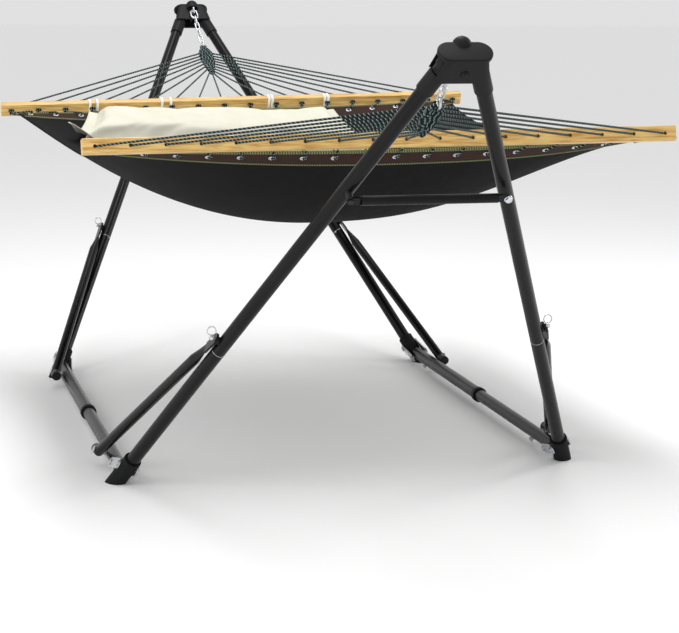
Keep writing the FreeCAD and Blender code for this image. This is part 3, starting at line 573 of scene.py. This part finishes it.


# --- Hem --------------------------------------------------------------------------------
# Woven band 50 mm wide, folded over each end of the mesh, with olive braid sewn along
# both its edges; the outer braid is overcast with a ribbed stitch.

# Woven webbing: dark red-brown polypropylene, with ribs 3 mm apart running across it; the hollows between the
# ribs are painted darker as painted shade.
webbing, shader = new_material("woven_webbing", Roughness=0.8, Specular_IOR_Level=0.2)
thread = node(webbing, "ShaderNodeUVMap", {"uv_map": "along"}).outputs[0]
rib = node(webbing, "ShaderNodeTexWave", {"bands_direction": "X"},
           {"Vector": thread, "Scale": 0.314 / 0.004})
mottle = node(webbing, "ShaderNodeTexNoise", None,
              {"Vector": thread, "Scale": 1 / 0.004, "Detail": 3.0})
shade = node(webbing, "ShaderNodeMix", {"data_type": "RGBA"},
             {0: mottle.outputs["Fac"], 6: linear("#2a1917"), 7: linear("#4e332b")})
# Painted shade: the rib wave that makes the bump also darkens the colour in its hollows.
rib_painted_shade = node(webbing, "ShaderNodeMix", {"data_type": "RGBA", "blend_type": "MULTIPLY"},
              {0: 0.5, 6: shade.outputs[2], 7: rib.outputs["Color"]})
link(webbing, rib_painted_shade.outputs[2], shader.inputs["Base Color"])
bump = node(webbing, "ShaderNodeBump", None,
            {"Height": rib.outputs["Fac"], "Strength": 0.5, "Distance": 0.001})
link(webbing, bump.outputs[0], shader.inputs["Normal"])

# Olive braid: cotton piping with an overcast stitch every 6 mm in a lighter thread.
braid, shader = new_material("olive_braid", Roughness=0.85, Specular_IOR_Level=0.2)
thread = node(braid, "ShaderNodeUVMap", {"uv_map": "along"})
parts = node(braid, "ShaderNodeSeparateXYZ", None, {"Vector": thread.outputs[0]})
turn = node(braid, "ShaderNodeMath", {"operation": "MULTIPLY_ADD"},
            {0: parts.outputs["Y"], 1: 1 / 0.006, 2: parts.outputs["X"]})
stitch = node(braid, "ShaderNodeMath", {"operation": "PINGPONG"}, {0: turn.outputs[0], 1: 0.5})
sharp = node(braid, "ShaderNodeMapRange", None,
             {"Value": stitch.outputs[0], "From Min": 0.15, "From Max": 0.35})
olive = node(braid, "ShaderNodeMix", {"data_type": "RGBA"},
             {0: sharp.outputs[0], 6: linear("#4a5134"), 7: linear("#8c9369")})
link(braid, olive.outputs[2], shader.inputs["Base Color"])
bump = node(braid, "ShaderNodeBump", None,
            {"Height": stitch.outputs[0], "Strength": 0.8, "Distance": 0.0015})
link(braid, bump.outputs[0], shader.inputs["Normal"])

HEM_OUTER_Y, HEM_INNER_Y, PIPING_Y = 0.7265, 0.677, 0.7255
with_bed = [side_seams]
for end, sy in (("near", -1), ("far", 1)):
    ends = sorted((sy * HEM_OUTER_Y, sy * HEM_INNER_Y))
    band, _ = cloth_strip(f"{end}_hem_band", ends[0], ends[1], 72, 6, 0.0046, webbing)
    edging = bmesh.new()
    outer = [bed_point(-0.998 + 1.996 * i / 72, sy * PIPING_Y) for i in range(73)]
    strand_tube(edging, outer, 0.0042, 10)
    for lift in (0.0052, 0.0008):
        inner = [bed_point(-0.995 + 1.99 * i / 72, sy * (HEM_INNER_Y - 0.0005), lift) for i in range(73)]
        strand_tube(edging, inner, 0.0026, 8)
    piping = piece(f"{end}_hem_braid", edging, braid, "hammock")
    with_bed += [band, piping]


# --- Eyelets and lashings ---------------------------------------------------------------
# A two-part chromed eyelet is pressed through the hem at each rope. The rope's end is
# knotted behind the bar, looped through the eyelet and tied back on itself.

EYELET_REACH, EYELET_Y = 0.955, 0.706                      # outermost eyelet's share, and place


def eyelet_place(sy, i):
    """An eyelet's share across the hem, its centre, and the sheet's normal there."""
    share = rope_x(i) / rope_x(ROPES - 1) * EYELET_REACH
    here = bed_point(share, sy * EYELET_Y)
    slope = bed_point(share, sy * EYELET_Y + 0.01) - here
    lateral = bed_point(share + 0.01, sy * EYELET_Y) - here
    return share, here, lateral.cross(slope).normalized()


# Knot and loops: a cord of the same braid, drawn thinner where it is pulled tight.
for end, sy in (("near", -1), ("far", 1)):
    centre, across, out = bar_place(sy)
    rings, ties = bmesh.new(), bmesh.new()
    for i in range(ROPES):
        share, here, normal = eyelet_place(sy, i)
        lip_x = normal.orthogonal().normalized()
        for face in (-1, 1):
            lip = []
            for a in range(17):
                t = 2 * math.pi * a / 16
                lip.append(here + normal * (face * 0.0029)
                           + (lip_x * math.cos(t) + normal.cross(lip_x) * math.sin(t)) * 0.0068)
            strand_tube(rings, lip, 0.0021, 6)
        tube(rings, here - normal * 0.003, here + normal * 0.003, 0.0055, 16)
        knot = centre + across * rope_x(i) - out * 0.0165
        sway = 0.0045 * noise.noise(Vector((i * 3.1, sy * 7.7, 0.0)))
        trefoil = []
        for a in range(25):
            t = 2 * math.pi * a / 24
            x, y = math.sin(t) + 2 * math.sin(2 * t), math.cos(t) - 2 * math.cos(2 * t)
            flat = Vector((x * 0.0023, 0, y * 0.0025))
            trefoil.append(knot + flat - out * (math.sin(3 * t) * 0.0026))
        strand_tube(ties, trefoil, 0.0025, 6)
        hem = bed_point(share, sy * PIPING_Y)
        corners = [knot - out * 0.003 + Vector((sway, 0, -0.004)),
                   here + normal * 0.012 + Vector((sway, 0, 0)),
                   here + normal * 0.004, here - normal * 0.006 + Vector((0, sy * 0.004, 0)),
                   hem - normal * 0.0075 + Vector((0.002, sy * 0.003, 0)),
                   knot + Vector((0.003 + sway, -sy * 0.003, -0.008))]
        loop = []
        for k in range(len(corners) - 1):
            p0, p1 = corners[max(k - 1, 0)], corners[k]
            p2, p3 = corners[k + 1], corners[min(k + 2, len(corners) - 1)]
            for step in range(5):
                t = step / 5
                loop.append(0.5 * (2 * p1 + (p2 - p0) * t + (2 * p0 - 5 * p1 + 4 * p2 - p3) * t * t
                                   + (3 * p1 - p0 - 3 * p2 + p3) * t ** 3))
        strand_tube(ties, loop + [corners[-1]], 0.0024, 6)
    eyelets = piece(f"{end}_eyelets", rings, chrome, "hammock")
    lashing = piece(f"{end}_lashings", ties, cord, "hammock")
    with_bed.append(eyelets)
    if sy < 0:
        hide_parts("grommets")
        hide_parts("lashings")


# --- Pillow -----------------------------------------------------------------------------
# Long head pillow: a cream cotton cover with a flat flange round it, stuffed with
# polyester fibre, lying on the mesh beside the far bar.

# Cotton cover: plain weave, 1 mm threads drawn 2.5 mm apart so that they show, with soft
# creases, whose hollows are painted darker as painted shade.
cotton, shader = new_material("cotton_cover", Roughness=0.9, Specular_IOR_Level=0.2)
place = node(cotton, "ShaderNodeTexCoord").outputs["Object"]
crease = node(cotton, "ShaderNodeTexNoise", None,
              {"Vector": place, "Scale": 1 / 0.05, "Detail": 4.0})
weave = node(cotton, "ShaderNodeTexWave", {"bands_direction": "X"},
             {"Vector": place, "Scale": 0.314 / 0.0025})
# Painted shade: the cream darkens where the crease noise dents the cover.
cream = node(cotton, "ShaderNodeMix", {"data_type": "RGBA"},
             {0: crease.outputs["Fac"], 6: linear("#d3d0be"), 7: linear("#e2e0d2")})
link(cotton, cream.outputs[2], shader.inputs["Base Color"])
mixed = node(cotton, "ShaderNodeMath", {"operation": "MULTIPLY_ADD"},
             {0: weave.outputs["Fac"], 1: 0.06, 2: crease.outputs["Fac"]})
bump = node(cotton, "ShaderNodeBump", None,
            {"Height": mixed.outputs[0], "Strength": 0.3, "Distance": 0.004})
link(cotton, bump.outputs[0], shader.inputs["Normal"])

PILLOW_X, PILLOW_Y, HALF_LONG, HALF_DEEP = -0.110, 0.558, 0.402, 0.145
PUFF = 0.026                                               # furthest the stuffing pushes it


def on_bed(u, v, w):
    """Point over the mesh: u across, v up the slope, w off it."""
    y = PILLOW_Y + v * 0.903
    x = PILLOW_X + u * (1 - 0.10 * v / HALF_DEEP)
    half = HALF_MIDDLE + HALF_FLARE * (y / HEM_Y) ** 2
    share = (x + BAR_SHIFT * y / BAR_Y) / half
    here = bed_point(share, y, 0.009)
    lateral = bed_point(share + 0.01, y, 0.009) - here
    slope = bed_point(share, y + 0.01, 0.009) - here
    return here + lateral.cross(slope).normalized() * w


slab = bmesh.new()
bmesh.ops.create_grid(slab, x_segments=88, y_segments=34, size=0.5)
bmesh.ops.scale(slab, verts=slab.verts, vec=(HALF_LONG * 2, HALF_DEEP * 2, 1))
bmesh.ops.solidify(slab, geom=slab.faces, thickness=0.012)
bmesh.ops.translate(slab, verts=slab.verts, vec=(0, 0, 0.006))
bmesh.ops.recalc_face_normals(slab, faces=slab.faces)
for v in slab.verts:
    cx, cy = min(1, abs(v.co.x) / HALF_LONG), min(1, abs(v.co.y) / HALF_DEEP)
    v.co.z += math.copysign(0.021 * max((1 - cx ** 3.2) * (1 - cy ** 2.6), 0) ** 0.6, v.co.z)
    v.co.x *= 1 - 0.008 * (1 - cy ** 2) * cx ** 2
    v.co.y *= 1 - 0.10 * (1 - (1 - cx) ** 2) * (1 - 0.9 * cx ** 6) * cy
pillow = piece("head_pillow", slab, cotton, "hammock")
started = [v.co.copy() for v in pillow.data.vertices]
sew = pillow.modifiers.new("stuffing", "CLOTH")
sew.settings.quality = 6
sew.settings.mass = 0.25
sew.settings.tension_stiffness = sew.settings.compression_stiffness = 18
sew.settings.shear_stiffness = 8
sew.settings.bending_stiffness = 0.6
sew.settings.use_pressure = True
sew.settings.uniform_pressure_force = 4
sew.settings.effector_weights.gravity = 0
scene = bpy.context.scene
for f in range(1, 21):
    scene.frame_set(f)
blown = pillow.evaluated_get(bpy.context.evaluated_depsgraph_get()).to_mesh()
ends = [v.co.copy() for v in blown.vertices]
pillow.evaluated_get(bpy.context.evaluated_depsgraph_get()).to_mesh_clear()
pillow.modifiers.clear()
scene.frame_set(1)
for v, a, b in zip(pillow.data.vertices, started, ends):
    step = b - a
    v.co = a + step * min(1, PUFF / max(step.length, 1e-9))
for v in pillow.data.vertices:
    u, w_deep, w = v.co
    if w > 0:
        w *= 1.0 + 0.55 * (1 - min(1, abs(u) / HALF_LONG) ** 2)
    w = w * (1.0 if w > 0 else 0.45) + 0.016
    w += 0.0016 * noise.noise(Vector((u * 22, w_deep * 34, 0)))
    v.co = on_bed(u, w_deep, max(w, 0.0))
pillow.data.update()
pillow.modifiers.new("smooth", "SUBSURF").levels = 1
pillow.modifiers["smooth"].render_levels = 1
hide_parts("pillow")

flange = bmesh.new()
bmesh.ops.create_grid(flange, x_segments=84, y_segments=36, size=0.5)
bmesh.ops.scale(flange, verts=flange.verts, vec=(HALF_LONG * 2 + 0.012, HALF_DEEP * 2 + 0.006, 1))
inner = [f for f in flange.faces if abs(f.calc_center_median().x) < HALF_LONG - 0.035
         and abs(f.calc_center_median().y) < HALF_DEEP - 0.035]
bmesh.ops.delete(flange, geom=inner, context="FACES")
for v in flange.verts:
    cx, cy = abs(v.co.x) / HALF_LONG, abs(v.co.y) / HALF_DEEP
    v.co.x *= 1 - 0.008 * (1 - min(1, cy) ** 2) * cx ** 2
    v.co.y *= 1 - 0.10 * (1 - (1 - min(1, cx)) ** 2) * (1 - 0.9 * min(1, cx) ** 6) * min(1, cy)
    point = max(0, cx - 0.84) * max(0, cy - 0.60) * 16 if v.co.y < 0 else 0.0
    v.co.x += math.copysign(0.018 * point, v.co.x)
    ripple = 0.005 * noise.noise(Vector((v.co.x * 30, v.co.y * 30, 3.0)))
    v.co = on_bed(v.co.x, v.co.y, 0.015 + ripple + 0.028 * min(1, point))
border = piece("pillow_flange", flange, cotton, "hammock")
wall = border.modifiers.new("hem", "SOLIDIFY")
wall.thickness, wall.offset = 0.0018, 0.0


# --- Pillow ties ------------------------------------------------------------------------
# White cotton tape, 8 mm wide: a pair at each of four places, tied round the far bar and
# sewn to the pillow's back edge.

tape, shader = new_material("cotton_tape", Roughness=0.8, Sheen_Weight=0.3)
place = node(tape, "ShaderNodeTexCoord").outputs["Object"]
twill = node(tape, "ShaderNodeTexWave", {"bands_direction": "DIAGONAL"},
             {"Vector": place, "Scale": 0.314 / 0.002})
# Painted shade: the twill's grooves, which the same wave bumps, are coloured a little darker.
white = node(tape, "ShaderNodeMix", {"data_type": "RGBA"},
             {0: twill.outputs["Fac"], 6: linear("#e9e8e0"), 7: linear("#fbfbf6")})
link(tape, white.outputs[2], shader.inputs["Base Color"])
bump = node(tape, "ShaderNodeBump", None,
            {"Height": twill.outputs["Fac"], "Strength": 0.2, "Distance": 0.0005})
link(tape, bump.outputs[0], shader.inputs["Normal"])

# Each pair's place along the bar, the gap between its two tapes, and how far to the side
# its ends are sewn. d and h are the loop's half width and half height round the bar.
TIES = ((-0.452, 0.022, 0.05), (-0.236, 0.026, 0.0), (0.080, 0.010, 0.0), (0.252, 0.010, -0.01))
TAPE_HALF = 0.004
centre, across, out = bar_place(1)
rise = across.cross(out)
tapes = bmesh.new()
for x, gap, pull in TIES:
    for s in (-1, 1):
        at = centre + across * (x + s * gap / 2 - centre.x)
        d, h = 0.0135, 0.0195
        route = [at + out * d * a + rise * h * b for a, b in
                 ((-1, -1), (-1, 0), (-1, 1), (0, 1.02), (1, 1), (1, 0), (1, -1), (0, -1.02), (-1, -1))]
        back = on_bed(x + pull + s * 0.006 - PILLOW_X, HALF_DEEP + 0.006, 0.015)
        for line in (route, [route[0], route[0].lerp(back, 0.5) - Vector((0, 0, 0.004)), back]):
            runs = len(line) - 1
            for v in bmesh.ops.create_grid(tapes, x_segments=runs, y_segments=1, size=1)["verts"]:
                v.co = line[round((v.co.x + 1) / 2 * runs)] + Vector((math.copysign(TAPE_HALF, v.co.y), 0, 0))
made = piece("pillow_ties", tapes, tape, "hammock")
wall = made.modifiers.new("thickness", "SOLIDIFY")
wall.thickness, wall.offset = 0.0009, 0.0


# --- Floor, light and camera ------------------------------------------------------------
# A plain pale studio floor and backdrop, soft boxes overhead and to the left, and a long
# lens looking along the hammock from a little to its left.

ground = bmesh.new()
bmesh.ops.create_grid(ground, x_segments=1, y_segments=1, size=30)
mesh = bpy.data.meshes.new("studio_floor")
ground.to_mesh(mesh)
ground.free()
floor = bpy.data.objects.new("studio_floor", mesh)
bpy.context.scene.collection.objects.link(floor)
pale, shader = new_material("pale_floor", Roughness=0.9)
shader.inputs["Base Color"].default_value = linear("#fbfbfb")
mesh.materials.append(pale)
floor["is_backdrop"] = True

world = bpy.data.worlds.new("studio")
bpy.context.scene.world = world
world.use_nodes = True
world.node_tree.nodes["Background"].inputs["Color"].default_value = (1, 1, 1, 1)
world.node_tree.nodes["Background"].inputs["Strength"].default_value = 0.75
bpy.context.scene.view_settings.view_transform = "Standard"

for name, spot, aim, size, long, power in (("overhead", (0.0, 0.3, 3.6), (0, 0, 0.4), 0.7, 4.0, 60),
                                           ("left_box", (-3.6, -2.2, 2.0), (0, 0, 0.7), 0.5, 2.6, 45),
                                           ("right_box", (3.8, 0.6, 1.8), (0, 0, 0.6), 0.4, 2.2, 30)):
    lamp = bpy.data.lights.new(name, "AREA")
    lamp.shape, lamp.size, lamp.size_y, lamp.energy = "RECTANGLE", size, long, power
    holder = bpy.data.objects.new(name, lamp)
    holder.location = spot
    holder.rotation_euler = (Vector(aim) - Vector(spot)).to_track_quat("-Z", "Y").to_euler()
    bpy.context.scene.collection.objects.link(holder)

heading, pitch, roll = math.radians(13.944), math.radians(7.623), math.radians(0.513)
ahead = Vector((math.sin(heading) * math.cos(pitch), math.cos(heading) * math.cos(pitch),
                -math.sin(pitch)))
right = Vector((math.cos(heading), -math.sin(heading), 0))
up = right.cross(ahead)
right, up = (right * math.cos(roll) + up * math.sin(roll), up * math.cos(roll) - right * math.sin(roll))
lens = bpy.data.cameras.new("camera")
lens.sensor_width, lens.lens = 36.0, 107.73
lens.shift_x, lens.shift_y = 0.0176, -0.1297
camera = bpy.data.objects.new("camera", lens)
view = Matrix((right, up, -ahead)).transposed().to_4x4()
camera.matrix_world = Matrix.Translation((-1.2217, -5.2098, 1.2186)) @ view
bpy.context.scene.collection.objects.link(camera)
bpy.context.scene.camera = camera

low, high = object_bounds()
